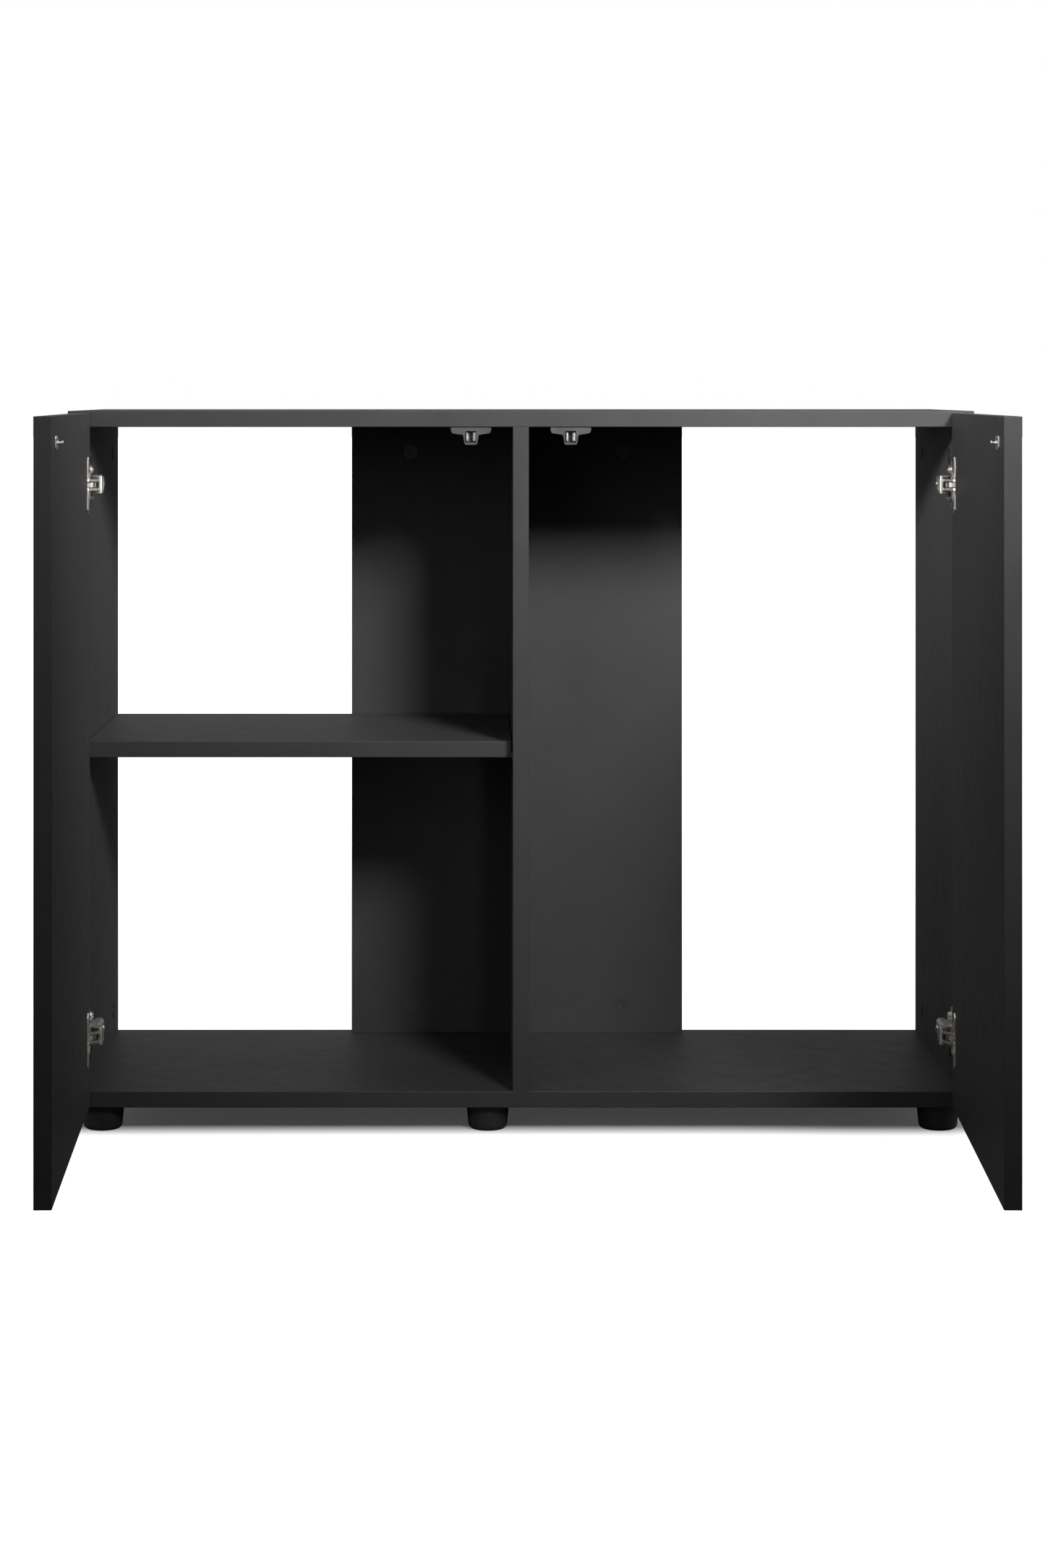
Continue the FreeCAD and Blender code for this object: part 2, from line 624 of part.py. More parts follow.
def latch_housing(side, x):
    body = new_body(side + "_latch_housing")
    flange, block = dim.latch_flange_half, dim.latch_block_half
    thin, shoulder = dim.latch_flange_thin, (block, -dim.latch_flange_thick)
    corner = [(dim.latch_block_low_half + out, up - dim.latch_tall) for out, up in BLOCK_CORNER]
    pad(body, polygon(new_sketch(body, "xz", dim.latch_face),
                      mirrored([(block, 0), shoulder] + corner)), dim.latch_long, back=True)
    flange_half = [(flange, 0), (flange, dim.latch_edge_tall - thin),
                   (flange - dim.latch_edge_in, -thin), shoulder]
    pad(body, polygon(new_sketch(body, "xz", dim.latch_face), mirrored(flange_half)),
        dim.latch_flange_long, back=True)
    centre, half_tall = dim.latch_mouth_centre, 0.5 * dim.latch_mouth_tall
    mouth = rect(new_sketch(body, "xz", dim.latch_face), -dim.latch_mouth_half,
                 -centre - half_tall, dim.latch_mouth_half, half_tall - centre)
    pocket(body, mouth, dim.latch_mouth_deep)
    screws = [(k * dim.latch_screw_x, dim.latch_screw_y) for k in (-1, 1)]
    holes(body, "xy", 0, screws, dim.screw_rad, dim.latch_tall)
    # counterbore open downwards, with the screw head inside the flange
    holes(body, "xy", dim.latch_head_tall - thin, screws,
          dim.screw_head_rad + dim.latch_head_fit, dim.latch_sink_cut)
    place(body, x, front_y, -thick)
    parts.append(body)


def latch_slider(side, x):
    body = new_body(side + "_latch_slider")
    half, half_tall, centre = dim.slider_half, 0.5 * dim.slider_tall, dim.latch_mouth_centre
    block = rect(new_sketch(body, "xz", dim.slider_from),
                 -half, -centre - half_tall, half, half_tall - centre)
    pad(body, block, dim.slider_to - dim.slider_from, back=True)
    slot_half = 0.5 * dim.jaw_tall + dim.jaw_fit
    jaw_slot = rect(new_sketch(body, "xz", dim.slider_from), -half - OVERRUN,
                    -centre - slot_half, half + OVERRUN, slot_half - centre)
    pocket(body, jaw_slot, dim.jaw_slot_deep)
    jaw_pins = discs(new_sketch(body, "xy", -centre),
                     [(k * dim.jaw_pivot_x, dim.jaw_pivot_y) for k in (-1, 1)], dim.jaw_pin_rad)
    pad(body, jaw_pins, dim.slider_tall - dim.jaw_pin_short, mid=True)
    # blind bore in the rear face for the spring
    holes(body, "xz", dim.slider_to - dim.slider_bore_deep, [(0, -centre)],
          dim.slider_bore_rad, dim.slider_bore_deep + OVERRUN)
    place(body, x, front_y, -thick)
    parts.append(body)


def latch_jaw(side, jaw_side, k, x):
    """Jaw about its own pivot; k is -1 for the left jaw and 1 for the right."""
    body = new_body("%s_latch_%s_jaw" % (side, jaw_side))
    outline = facing(k, JAW_OUTLINE, dim.jaw_pivot_x, dim.jaw_pivot_y)
    pad(body, polygon(new_sketch(body), outline), dim.jaw_tall, mid=True)
    pad(body, disc(new_sketch(body), 0, 0, dim.jaw_knuckle_rad), dim.jaw_tall, mid=True)
    pocket(body, disc(new_sketch(body), 0, 0, dim.jaw_hole_rad),
           dim.jaw_tall + 2 * OVERRUN, mid=True)
    place(body, x + k * dim.jaw_pivot_x, front_y + dim.jaw_pivot_y, latch_level)
    parts.append(body)


def make_spring():
    """Wire helix about +Z, the wire a regular polygon in section."""
    coil = doc.addObject("Part::Helix", "master_spring_path")
    bind(coil, "Radius", dim.spring_rad)
    bind(coil, "Pitch", dim.spring_pitch)
    bind(coil, "Height", dim.spring_to - dim.spring_from - 2 * dim.spring_wire)
    wire = doc.addObject("Part::RegularPolygon", "master_spring_wire")
    wire.Polygon = WIRE_SIDES
    bind(wire, "Circumradius", dim.spring_wire)
    bind(wire, "Placement.Base.x", dim.spring_rad)
    wire.setExpression("Placement.Rotation.Axis.x", "1")
    wire.setExpression("Placement.Rotation.Axis.z", "0")
    wire.setExpression("Placement.Rotation.Angle", "90")
    spring = doc.addObject("Part::Sweep", "master_spring")
    doc.recompute()
    spring.Sections = [wire]
    spring.Spine = (coil, ["Edge1"])
    spring.Solid = True
    spring.Frenet = True
    doc.recompute()
    return spring


def chipboard_screw(name, head):
    """Axis -Z into the board, origin at the head face; head is its (radius, z) outline."""
    body = turned(name, [(0, 0)] + head + [
        (dim.screw_rad, dim.screw_tip_tall - dim.screw_long),
        (dim.screw_tip_rad, -dim.screw_long), (0, -dim.screw_long)])
    cross_recess(body, 0, dim.screw_cross_long, dim.screw_cross_wide, dim.screw_cross_deep)
    return body


for side, k in (("left", -1), ("right", 1)):
    latch_housing(side, k * dim.latch_x)
    latch_slider(side, k * dim.latch_x)
    latch_jaw(side, "left", -1, k * dim.latch_x)
    latch_jaw(side, "right", 1, k * dim.latch_x)

# The springs lie front to back behind the sliders.
spring_master = make_spring()
group("latch_springs", [
    (spring_master, spot(k * dim.latch_x, front_y + dim.spring_from + dim.spring_wire,
                         latch_level, (1, 0, 0), -90)) for k in (-1, 1)])

countersunk_screw = chipboard_screw("master_screw", [
    (dim.screw_head_rad, 0), (dim.screw_head_rad, -dim.screw_rim),
    (dim.screw_rad, -dim.screw_head_deep)])
latch_head_rad = dim.screw_head_rad - dim.latch_head_fit
latch_screw = chipboard_screw("master_latch_screw", [
    (latch_head_rad - dim.latch_head_edge_in, 0), (latch_head_rad, -dim.latch_head_edge_tall),
    (latch_head_rad, -dim.latch_head_tall), (dim.screw_rad, -dim.latch_head_tall)])
# Latch screws point up, their heads flush with the thin part of the flange.
group("latch_screws", [
    (latch_screw, spot(side * dim.latch_x + k * dim.latch_screw_x, front_y + dim.latch_screw_y,
                       -thick - dim.latch_flange_thin, (1, 0, 0), 180))
    for side in (-1, 1) for k in (-1, 1)])

# ---------------------------------------------------------------- hinge geometry
# Hinge plan frame: u runs inboard from the side's outer face, v back from the carcass
# front. inward is the x direction of u: 1 for the left door's hinges, -1 for the right's.
# The outer link joins the arm to the cup's long pin, the inner link to its short pins.
outer_u, outer_v = dim.arm_pin_u, dim.arm_pin_v
long_u, long_v = dim.cup_pin_u, -dim.cup_pin_v
inner_u, inner_v = dim.arm_pin2_u, -dim.arm_pin2_v
short_u, short_v = dim.cup_pin2_u, -dim.cup_pin2_v
outer_turn = dim.link_ratio * dim.door_open
inner_turn = dim.link2_ratio * dim.door_open
# The long pin with the door open; cup and door are modelled closed, about this pin.
open_u = outer_u + cosine(outer_turn) * (long_u - outer_u) - sine(outer_turn) * (long_v - outer_v)
open_v = outer_v + sine(outer_turn) * (long_u - outer_u) + cosine(outer_turn) * (long_v - outer_v)
short_du, short_dv = short_u - long_u, short_v - long_v
cup_du = dim.cup_u - long_u
cup_screw_du = dim.cup_screw_u - long_u
door_face = -dim.door_gap - long_v  # rear face of the door

# Outlines in the hinge plan, as (u, v) with the door closed.
OUTER_LINK_PATH = [(24.2, 4.6), (24.3, 0.2), (24.3, -5.6), (23.4, -7.9), (20.2, -11.0),
                   (18.3, -11.75), (16.3, -11.65), (12.6, -9.55), (11.5, -8.7)]
INNER_LINK_PATH = [(35.4, 0.1), (33.9, 0.0), (28.3, -5.0), (19.4, -4.95)]
# Eye of the inner link, slotted because the short pins wander along SHORT_PIN_TRACK.
EYE_OUTLINE = [(13.3, -4.6), (13.5, -6.2), (16.6, -7.7), (18.2, -7.6),
               (19.4, -6.6), (19.4, -4.2), (16.4, -2.3), (14.9, -2.25)]
SHORT_PIN_TRACK = [(15.0, -5.0), (17.25, -5.75), (17.42, -5.6), (15.6, -4.0)]
# Gap between the inner link's two cheeks.
CHEEK_GAP = [(34.4, -7), (34.4, 4), (10, 4), (10, -12), (30, -12)]
ARM_OUTLINE = [(21.4, 5.6), (22.3, 3.9), (24.0, 3.1), (35.0, -1.5), (36.6, -2.3),
               (38.0, -2.2), (39.2, -1.1), (39.4, 0.4), (39.4, 12), (34.8, 14),
               (34.8, 60), (27.5, 60), (25.5, 57), (25.5, 24), (21.4, 15)]
# The arm's hollow: a wide cut between the cheeks, then a narrower one deeper in the spine.
ARM_HOLLOW = [(15, -6), (43, -6), (43, 4.2), (36, 4.2), (36, 10.6), (31.4, 12.6),
              (31.4, 65), (15, 65)]
ARM_SPINE_HOLLOW = [(29, 3.6), (38, 3.6), (38, 10.6), (33.4, 12.6), (33.4, 65), (29, 65)]
BEVEL_OUT_U, BEVEL_OUT_Z = 6, 2  # how far the bevel cutter stands outside the arm


def hinge_xy(inward, u, v):
    return -inward * half_width + inward * u, front_y + v


def unit(dx, dy):
    length = math.hypot(dx, dy)
    return dx / length, dy / length


def band(path, half):
    """Outline of a strip of the given half width along a path, square ended."""
    left, right = [], []
    last = len(path) - 1
    for i, (x, y) in enumerate(path):
        before, after = path[max(0, i - 1)], path[min(last, i + 1)]
        reach = half
        if 0 < i < last:
            arrive = unit(x - before[0], y - before[1])
            leave = unit(after[0] - x, after[1] - y)
            along = unit(arrive[0] + leave[0], arrive[1] + leave[1])
            # mitred, but never beyond twice the half width
            reach = half / max(0.5, along[0] * arrive[0] + along[1] * arrive[1])
        else:
            along = unit(after[0] - before[0], after[1] - before[1])
        left.append((x - along[1] * reach, y + along[0] * reach))
        right.append((x + along[1] * reach, y - along[0] * reach))
    return left + right[::-1]


def rounded_hull(centres, rad, quarter_steps=3):
    """Faceted outline at radius rad round an anticlockwise convex chain of centres."""
    outline = []
    for i, (x, y) in enumerate(centres):
        before, after = centres[i - 1], centres[(i + 1) % len(centres)]
        start = math.atan2(y - before[1], x - before[0]) - math.pi / 2
        end = math.atan2(after[1] - y, after[0] - x) - math.pi / 2
        while end < start:
            end += 2 * math.pi
        steps = max(1, int(round((end - start) / (math.pi / (2 * quarter_steps)))))
        for j in range(steps + 1):
            angle = start + (end - start) * j / steps
            outline.append((x + rad * math.cos(angle), y + rad * math.sin(angle)))
    return outline


# ---------------------------------------------------------------- hinge pieces
def hinge_plate(tag, inward, level):
    """Winged mounting plate with a raised block, on the side panel's inner face."""
    body = new_body(tag + "_plate")
    back = inward < 0
    base, top = inward * thick, inward * dim.plate_block_top
    wing = dim.plate_wing
    wings = chamfered_rect(dim.plate_from, -wing, dim.plate_to, wing, dim.plate_cut)
    pad(body, polygon(new_sketch(body, "yz", base), wings), dim.plate_thick, back=back)
    block = rect(new_sketch(body, "yz", base), dim.plate_block_from, -dim.plate_block_half,
                 dim.plate_block_to, dim.plate_block_half)
    pad(body, block, dim.plate_block_top - thick, back=back)
    # groove in the block under the arm's spine
    groove = rect(new_sketch(body, "yz", top), dim.plate_groove_from, -dim.plate_groove_half,
                  dim.plate_groove_to, dim.plate_groove_half)
    pocket(body, groove, dim.plate_groove_deep, back=back)
    screws = [(dim.plate_screw_v, k * dim.plate_screw_z) for k in (-1, 1)]
    pad(body, discs(new_sketch(body, "yz", base), screws, dim.plate_boss_rad),
        dim.plate_boss_tall, back=back)
    holes(body, "yz", inward * (thick + dim.plate_boss_tall), screws, dim.euro_rad,
          dim.plate_boss_tall, back=back)
    holes(body, "yz", top, [(dim.adjust_front, 0), (dim.adjust_rear, 0)], dim.adjust_rad,
          dim.adjust_deep, back=back)
    place(body, *hinge_xy(inward, 0, 0), level)
    parts.append(body)


def hinge_arm(tag, inward, level):
    """Channel with its spine away from the side panel."""
    body = new_body(tag + "_arm")
    out, bevel = dim.arm_out, dim.arm_bevel
    pad(body, polygon(new_sketch(body), facing(inward, ARM_OUTLINE)), 2 * out, mid=True)
    pocket(body, polygon(new_sketch(body), facing(inward, ARM_HOLLOW)),
           2 * dim.arm_in, mid=True)
    pocket(body, polygon(new_sketch(body), facing(inward, ARM_SPINE_HOLLOW)),
           2 * (dim.arm_in - dim.arm_lip), mid=True)
    # bevels along both edges of the spine: first its raised nose, then its lower seat
    for start, end, top in ((dim.arm_nose_from, dim.arm_step + 2, dim.arm_web_out),
                            (dim.arm_step + 1, dim.arm_rear + 2, dim.arm_seat_out)):
        for k in (-1, 1):
            corner = [(top - bevel, k * out), (top, k * (out - bevel)),
                      (top + BEVEL_OUT_U, k * (out - bevel)),
                      (top + BEVEL_OUT_U, k * (out + BEVEL_OUT_Z)),
                      (top - bevel, k * (out + BEVEL_OUT_Z))]
            pocket(body, polygon(new_sketch(body, "xz", start), facing(inward, corner)),
                   end - start)
    pivots = [(inward * outer_u, outer_v), (inward * inner_u, inner_v)]
    pocket(body, discs(new_sketch(body), pivots, dim.pivot_rad), 2 * out + 4 * OVERRUN, mid=True)
    holes(body, "yz", inward * (dim.arm_seat_out + OVERRUN),
          [(dim.adjust_front, 0), (dim.adjust_rear, 0)], dim.adjust_rad, dim.arm_hole_deep,
          back=inward < 0)
    place(body, *hinge_xy(inward, 0, 0), level)
    parts.append(body)


def cup_hollow(body, inward):
    """Hollow of the cup, leaving a block each side of its outboard part for the pins."""
    centre = (inward * cup_du).value
    rad, half = dim.cup_bore_rad.value, dim.cup_block_half.value
    block_x = (inward * (dim.cup_block_u - long_u)).value
    block_z = math.sqrt(rad ** 2 - (block_x - centre) ** 2)
    outboard_x = centre - inward * math.sqrt(rad ** 2 - half ** 2)
    corners = [vec(x, z) for x, z in [
        (block_x, half), (block_x, block_z), (centre + inward * rad, 0), (block_x, -block_z),
        (block_x, -half), (outboard_x, -half), (centre - inward * rad, 0), (outboard_x, half)]]
    sketch = new_sketch(body, "xz", door_face)
    # corner numbers of each edge: two for a line, three for an arc
    for edge in ((0, 1), (1, 2, 3), (3, 4), (4, 5), (5, 6, 7), (7, 0)):
        curve = Part.Arc if len(edge) == 3 else Part.LineSegment
        sketch.addGeometry(curve(*[corners[i] for i in edge]), False)
    pocket(body, sketch, dim.cup_deep - dim.cup_floor, back=True)


def hinge_cup(tag, inward, level):
    """Cup sunk in the door, with an eared flange on the door's rear face."""
    body = new_body(tag + "_cup")
    centre = inward * cup_du
    pad(body, disc(new_sketch(body, "xz", door_face), centre, 0, dim.cup_rad), dim.cup_deep)
    pad(body, disc(new_sketch(body, "xz", door_face), centre, 0, dim.flange_rad),
        dim.flange_thick, back=True)
    ears = chamfered_rect(dim.flange_ear_lo - long_u, -dim.flange_half,
                          dim.flange_ear_hi - long_u, dim.flange_half, dim.flange_ear_cut)
    pad(body, polygon(new_sketch(body, "xz", door_face), facing(inward, ears)),
        dim.flange_thick, back=True)
    flange_top = door_face + dim.flange_thick
    holes(body, "xz", flange_top, [(centre, 0)], dim.cup_bore_rad, dim.flange_thick, back=True)
    cup_hollow(body, inward)
    # notch for the arm in the flange's inboard edge
    notch = rect(new_sketch(body, "xz", flange_top),
                 inward * (dim.cup_notch_from - long_u), -dim.cup_notch_half,
                 inward * (dim.cup_notch_to - long_u), dim.cup_notch_half)
    pocket(body, notch, dim.flange_thick, back=True)
    pocket(body, disc(new_sketch(body), 0, 0, dim.pivot_rad), dim.long_hole_long, mid=True)
    pocket(body, disc(new_sketch(body), inward * short_du, short_dv, dim.pivot2_rad),
           dim.short_hole_long, mid=True)
    # screw head seats in the ears
    holes(body, "xz", flange_top, [(inward * cup_screw_du, k * dim.cup_screw_z) for k in (-1, 1)],
          dim.screw_head_rad, dim.flange_thick + dim.cup_seat_extra, back=True)
    place(body, *hinge_xy(inward, open_u, open_v), level, -inward * dim.door_open)
    parts.append(body)


def outer_link(tag, inward, level):
    """Link turning on the arm's outer pivot and carrying the cup's long pin."""
    body = new_body(tag + "_outer_link")
    strip = facing(inward, band(OUTER_LINK_PATH, dim.link_band.value),
                   outer_u.value, outer_v.value)
    cup_end = (inward * (long_u - outer_u), long_v - outer_v)
    pad(body, polygon(new_sketch(body), strip), 2 * dim.link_half, mid=True)
    pad(body, disc(new_sketch(body), 0, 0, dim.barrel_rad), 2 * dim.barrel_half, mid=True)
    pad(body, disc(new_sketch(body), *cup_end, dim.barrel_rad - dim.barrel_step),
        2 * dim.link_half, mid=True)
    pocket(body, discs(new_sketch(body), [(0, 0), cup_end], dim.pivot_hole_rad),
           2 * dim.barrel_half + 4 * OVERRUN, mid=True)
    place(body, *hinge_xy(inward, outer_u, outer_v), level, inward * outer_turn)
    parts.append(body)


def inner_link(tag, inward, level):
    """Two cheeks on one barrel, ending in a slotted eye."""
    body = new_body(tag + "_inner_link")

    def outline(points):
        return polygon(new_sketch(body), facing(inward, points, inner_u.value, inner_v.value))

    pad(body, outline(band(INNER_LINK_PATH, dim.link_band.value)), 2 * dim.link2_out, mid=True)
    pad(body, outline(EYE_OUTLINE), 2 * dim.link2_out, mid=True)
    pocket(body, outline(CHEEK_GAP), 2 * dim.link2_in, mid=True)
    pad(body, disc(new_sketch(body), 0, 0, dim.barrel_rad), 2 * dim.barrel_half, mid=True)
    pocket(body, disc(new_sketch(body), 0, 0, dim.pivot_hole_rad),
           2 * dim.barrel_half + 4 * OVERRUN, mid=True)
    slot_rad = (dim.pivot2_rad + dim.slot_fit).value
    pocket(body, outline(rounded_hull(SHORT_PIN_TRACK, slot_rad)),
           2 * dim.link2_out + 4 * OVERRUN, mid=True)
    place(body, *hinge_xy(inward, inner_u, inner_v), level, inward * inner_turn)
    parts.append(body)


def make_rivet():
    """Pin along Z, headed outside the arm's cheeks."""
    end = dim.arm_out + dim.rivet_head_tall
    return turned("master_rivet", [
        (0, -end), (dim.rivet_head_rad, -end), (dim.rivet_head_rad, -dim.arm_out),
        (dim.pivot_rad, -dim.arm_out), (dim.pivot_rad, dim.arm_out),
        (dim.rivet_head_rad, dim.arm_out), (dim.rivet_head_rad, end), (0, end)])


def machine_screw(name, rad, deep, head_rad, head_tall):
    """Pan head screw, axis +Z, shank down from the seat at z = 0."""
    body = turned(name, [
        (0, -deep), (rad - dim.machine_tip_in, -deep), (rad, dim.screw_tip_tall - deep),
        (rad, 0), (head_rad, 0), (head_rad, head_tall - dim.machine_edge_tall),
        (head_rad - dim.machine_edge_in, head_tall), (0, head_tall)])
    cross_recess(body, head_tall,
                 dim.machine_cross_long, dim.machine_cross_wide, dim.machine_cross_deep)
    return body


def on_hinges(master, points, angle=0):
    """The master at (u, v, z) points of every hinge, turned about Y by angle * inward."""
    return [(master, spot(*hinge_xy(inward, u, v), level + z, (0, 1, 0), angle * inward))
            for inward in (1, -1) for level in hinge_levels for u, v, z in points]


SIDES = (("left", 1), ("right", -1))  # name and inward direction
for side, inward in SIDES:
    for height, level in zip(("upper", "lower"), hinge_levels):
        tag = "%s_%s_hinge" % (side, height)
        for make_piece in (hinge_plate, hinge_arm, hinge_cup, outer_link, inner_link):
            make_piece(tag, inward, level)

group("hinge_arm_pins",
      on_hinges(make_rivet(), [(outer_u, outer_v, 0), (inner_u, inner_v, 0)]))
plate_screw = machine_screw(
    "master_euro", dim.euro_rad, dim.plate_boss_tall + dim.euro_deep - dim.machine_end_gap,
    dim.euro_head_rad, dim.euro_head_tall)
group("hinge_plate_screws", on_hinges(plate_screw, [
    (thick + dim.plate_boss_tall, dim.plate_screw_v, k * dim.plate_screw_z)
    for k in (-1, 1)], angle=90))
adjusting_screw = machine_screw(
    "master_adjuster", dim.adjust_rad,
    dim.arm_seat_out - dim.plate_block_top + dim.adjust_deep - dim.machine_end_gap,
    dim.adjust_head_rad, dim.adjust_head_tall)
group("hinge_adjusting_screws", on_hinges(adjusting_screw, [
    (dim.arm_seat_out, v, 0) for v in (dim.adjust_front, dim.adjust_rear)], angle=90))

# ---------------------------------------------------------------- doors
# Each door and what it carries is drawn closed about the cup's long pin, then swung open.
door_base = -dim.door_top_drop - dim.door_tall
HEAD_TO_REAR = Rotation(Vector(1, 0, 0), -90)  # turns a screw's head from +Z to +Y


def make_long_pin():
    body = new_body("master_long_cup_pin")
    pad(body, disc(new_sketch(body), 0, 0, dim.pivot_rad), dim.long_pin_long, mid=True)
    return body


def make_short_pin():
    body = new_body("master_short_cup_pin")
    pad(body, disc(new_sketch(body, "xy", dim.short_pin_from), 0, 0, dim.pivot2_rad),
        dim.short_pin_long)
    return body


def make_strike_screw():
    """Pan head screw, axis +Z, shank down from the seat at z = 0."""
    head, head_tall = dim.strike_screw_head, dim.strike_screw_head_tall
    rad, end = dim.strike_screw_rad, -dim.strike_screw_long
    body = turned("master_strike_screw", [
        (0, head_tall), (head - dim.strike_screw_edge_in, head_tall),
        (head, dim.strike_screw_rim), (head, 0), (rad, 0), (rad, end + dim.screw_tip_tall),
        (dim.strike_screw_tip_rad, end), (0, end)])
    cross_recess(body, head_tall,
                 dim.strike_cross_long, dim.strike_cross_wide, dim.strike_cross_deep)
    return body


def strike_du(inward):
    return inward * (half_width - dim.latch_x - long_u)


def place_on_door(body, inward, z):
    place(body, *hinge_xy(inward, open_u, open_v), z, -inward * dim.door_open)
    parts.append(body)


def door_panel(side, inward):
    body = new_body(side + "_door_panel")
    edge = dim.door_reveal - long_u
    pad(body, rect(new_sketch(body), inward * edge, door_face - thick,
                   inward * (edge + dim.door_wide), door_face), dim.door_tall)
    ease_edges(body)
    levels = [level - door_base for level in hinge_levels]
    holes(body, "xz", door_face, [(inward * cup_du, z) for z in levels],
          dim.cup_rad, dim.cup_deep, back=True)
    cup_screws = [(inward * cup_screw_du, z + k * dim.cup_screw_z)
                  for z in levels for k in (-1, 1)]
    holes(body, "xz", door_face, cup_screws, dim.screw_rad,
          dim.screw_long - dim.flange_thick, back=True)
    strike_screws = [(strike_du(inward) + k * dim.strike_screw_x, latch_level - door_base)
                     for k in (-1, 1)]
    holes(body, "xz", door_face, strike_screws, dim.strike_screw_rad,
          dim.strike_hole_deep, back=True)
    place_on_door(body, inward, door_base)


def door_strike(side, inward):
    """Plate, neck and round head, pointing into the cabinet when the door is closed."""
    body = new_body(side + "_door_strike")
    x = strike_du(inward)
    half_wide, half_tall = 0.5 * dim.strike_wide, 0.5 * dim.strike_tall
    plate = chamfered_rect(x - half_wide, -half_tall, x + half_wide, half_tall, dim.strike_cut)
    pad(body, polygon(new_sketch(body, "xz", door_face), plate), dim.strike_thick, back=True)
    pad(body, disc(new_sketch(body, "xz", door_face), x, 0, dim.strike_neck_rad),
        dim.strike_head_from + dim.door_gap, back=True)
    pad(body, disc(new_sketch(body, "xz", dim.strike_head_from - long_v), x, 0,
                   dim.strike_head_rad), dim.strike_head_to - dim.strike_head_from, back=True)
    holes(body, "xz", door_face + dim.strike_thick,
          [(x + k * dim.strike_screw_x, 0) for k in (-1, 1)],
          dim.strike_screw_rad, dim.strike_thick, back=True)
    place_on_door(body, inward, latch_level)


def door_fasteners(side, inward):
    """Cup screws, strike screws and cup pins, all swung open with the door."""
    door = spot(*hinge_xy(inward, open_u, open_v), 0, angle=-inward * dim.door_open.value)

    def on_door(master, x, y, z, rotation=HEAD_TO_REAR):
        return master, door.multiply(Placement(vec(x, y, z), rotation))

    group(side + "_hinge_cup_screws", [
        on_door(countersunk_screw, inward * cup_screw_du, door_face + dim.flange_thick,
                level + k * dim.cup_screw_z) for level in hinge_levels for k in (-1, 1)])
    group(side + "_strike_screws", [
        on_door(strike_screw, strike_du(inward) + k * dim.strike_screw_x,
                door_face + dim.strike_thick, latch_level) for k in (-1, 1)])
    pins = []
    for level in hinge_levels:
        pins.append(on_door(long_pin, 0, 0, level, Rotation()))
        for flip in (0, 180):
            pins.append(on_door(short_pin, inward * short_du, short_dv, level,
                                Rotation(Vector(1, 0, 0), flip)))
    group(side + "_hinge_cup_pins", pins)


long_pin = make_long_pin()
short_pin = make_short_pin()
strike_screw = make_strike_screw()
for side, inward in SIDES:
    door_panel(side, inward)
    door_strike(side, inward)
    door_fasteners(side, inward)

# ---------------------------------------------------------------- check and write
MIN_VOLUME = 0.05
doc.recompute()
faults = []
for obj in doc.Objects:
    if "Invalid" in obj.State or "Error" in obj.State:
        faults.append("%s state %s" % (obj.Name, obj.State))
for part in parts:
    if part.Shape.isNull() or not part.Shape.isValid() or not part.Shape.Solids:
        faults.append("%s shape not valid" % part.Name)
    for solid in part.Shape.Solids:
        if solid.Volume < MIN_VOLUME:
            faults.append("%s has a tiny or inverted solid" % part.Name)
if faults:
    raise RuntimeError("; ".join(faults))
for part in parts:
    part.Shape.exportStep(os.path.join("parts", part.Label + ".step"))
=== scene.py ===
import bpy
import bmesh
import math
from mathutils import Vector, Matrix


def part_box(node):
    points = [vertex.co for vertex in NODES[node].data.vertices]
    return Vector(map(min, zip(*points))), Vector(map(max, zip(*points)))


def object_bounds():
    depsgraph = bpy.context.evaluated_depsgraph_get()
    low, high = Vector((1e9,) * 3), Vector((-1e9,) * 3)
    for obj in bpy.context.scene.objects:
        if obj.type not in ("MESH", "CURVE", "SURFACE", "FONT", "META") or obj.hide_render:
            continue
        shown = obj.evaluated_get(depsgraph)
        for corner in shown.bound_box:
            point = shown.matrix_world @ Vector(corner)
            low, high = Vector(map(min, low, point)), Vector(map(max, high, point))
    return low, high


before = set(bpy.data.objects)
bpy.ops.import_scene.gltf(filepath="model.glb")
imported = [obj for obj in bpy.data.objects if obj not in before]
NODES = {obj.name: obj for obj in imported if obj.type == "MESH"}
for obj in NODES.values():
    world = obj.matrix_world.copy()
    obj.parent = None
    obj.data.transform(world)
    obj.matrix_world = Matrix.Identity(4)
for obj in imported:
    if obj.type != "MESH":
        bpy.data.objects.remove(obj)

CAD_BOX = [list(map(float, c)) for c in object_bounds()]
scene = bpy.context.scene


# ------------------------------------------------------------------ node helpers
def new_mat(name):
    m = bpy.data.materials.new(name)
    m.use_nodes = True
    nt = m.node_tree
    nt.nodes.clear()
    out = nt.nodes.new("ShaderNodeOutputMaterial")
    bsdf = nt.nodes.new("ShaderNodeBsdfPrincipled")
    nt.links.new(bsdf.outputs[0], out.inputs[0])
    return m, nt, bsdf


def node(nt, kind, **props):
    n = nt.nodes.new(kind)
    for k, v in props.items():
        if k in n.inputs.keys():
            n.inputs[k].default_value = v
        else:
            setattr(n, k, v)
    return n


def math_node(nt, op, a, b=None, clamp=False):
    n = nt.nodes.new("ShaderNodeMath")
    n.operation = op
    n.use_clamp = clamp
    for i, v in enumerate((a, b)):
        if v is None:
            continue
        if isinstance(v, (int, float)):
            n.inputs[i].default_value = v
        else:
            nt.links.new(v, n.inputs[i])
    return n.outputs[0]


